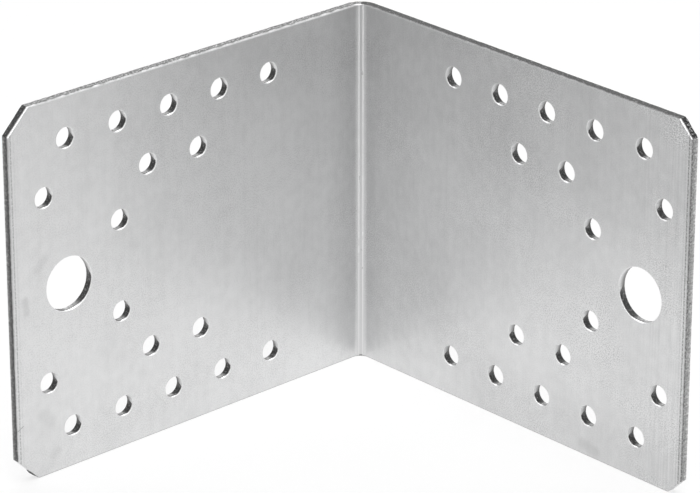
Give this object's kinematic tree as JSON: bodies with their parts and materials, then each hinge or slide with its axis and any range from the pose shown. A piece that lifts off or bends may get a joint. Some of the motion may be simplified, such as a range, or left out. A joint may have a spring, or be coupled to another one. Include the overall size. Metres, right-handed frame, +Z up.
{
  "type": "angle bracket",
  "caption": "Flat steel sheet folded square into two equal flanges, with punched nail holes and bolt holes, to join timber to timber or timber to concrete.",
  "frame": {"origin": "middle of the bracket's square footprint, on the plane of its lower edges", "axes": "+Z up along the fold, right flange along +X with its outer face to +Y, left flange along -Y with its outer face to -X, so the inside of the corner opens to +X and -Y"},
  "size_m": [0.107, 0.107, 0.09],
  "materials": {
    "galvanised_steel": "satin zinc coat with fine rolling lines along the fold"
  },
  "bodies": {
    "root": {"bracket": "galvanised_steel"}
  },
  "joints": []
}
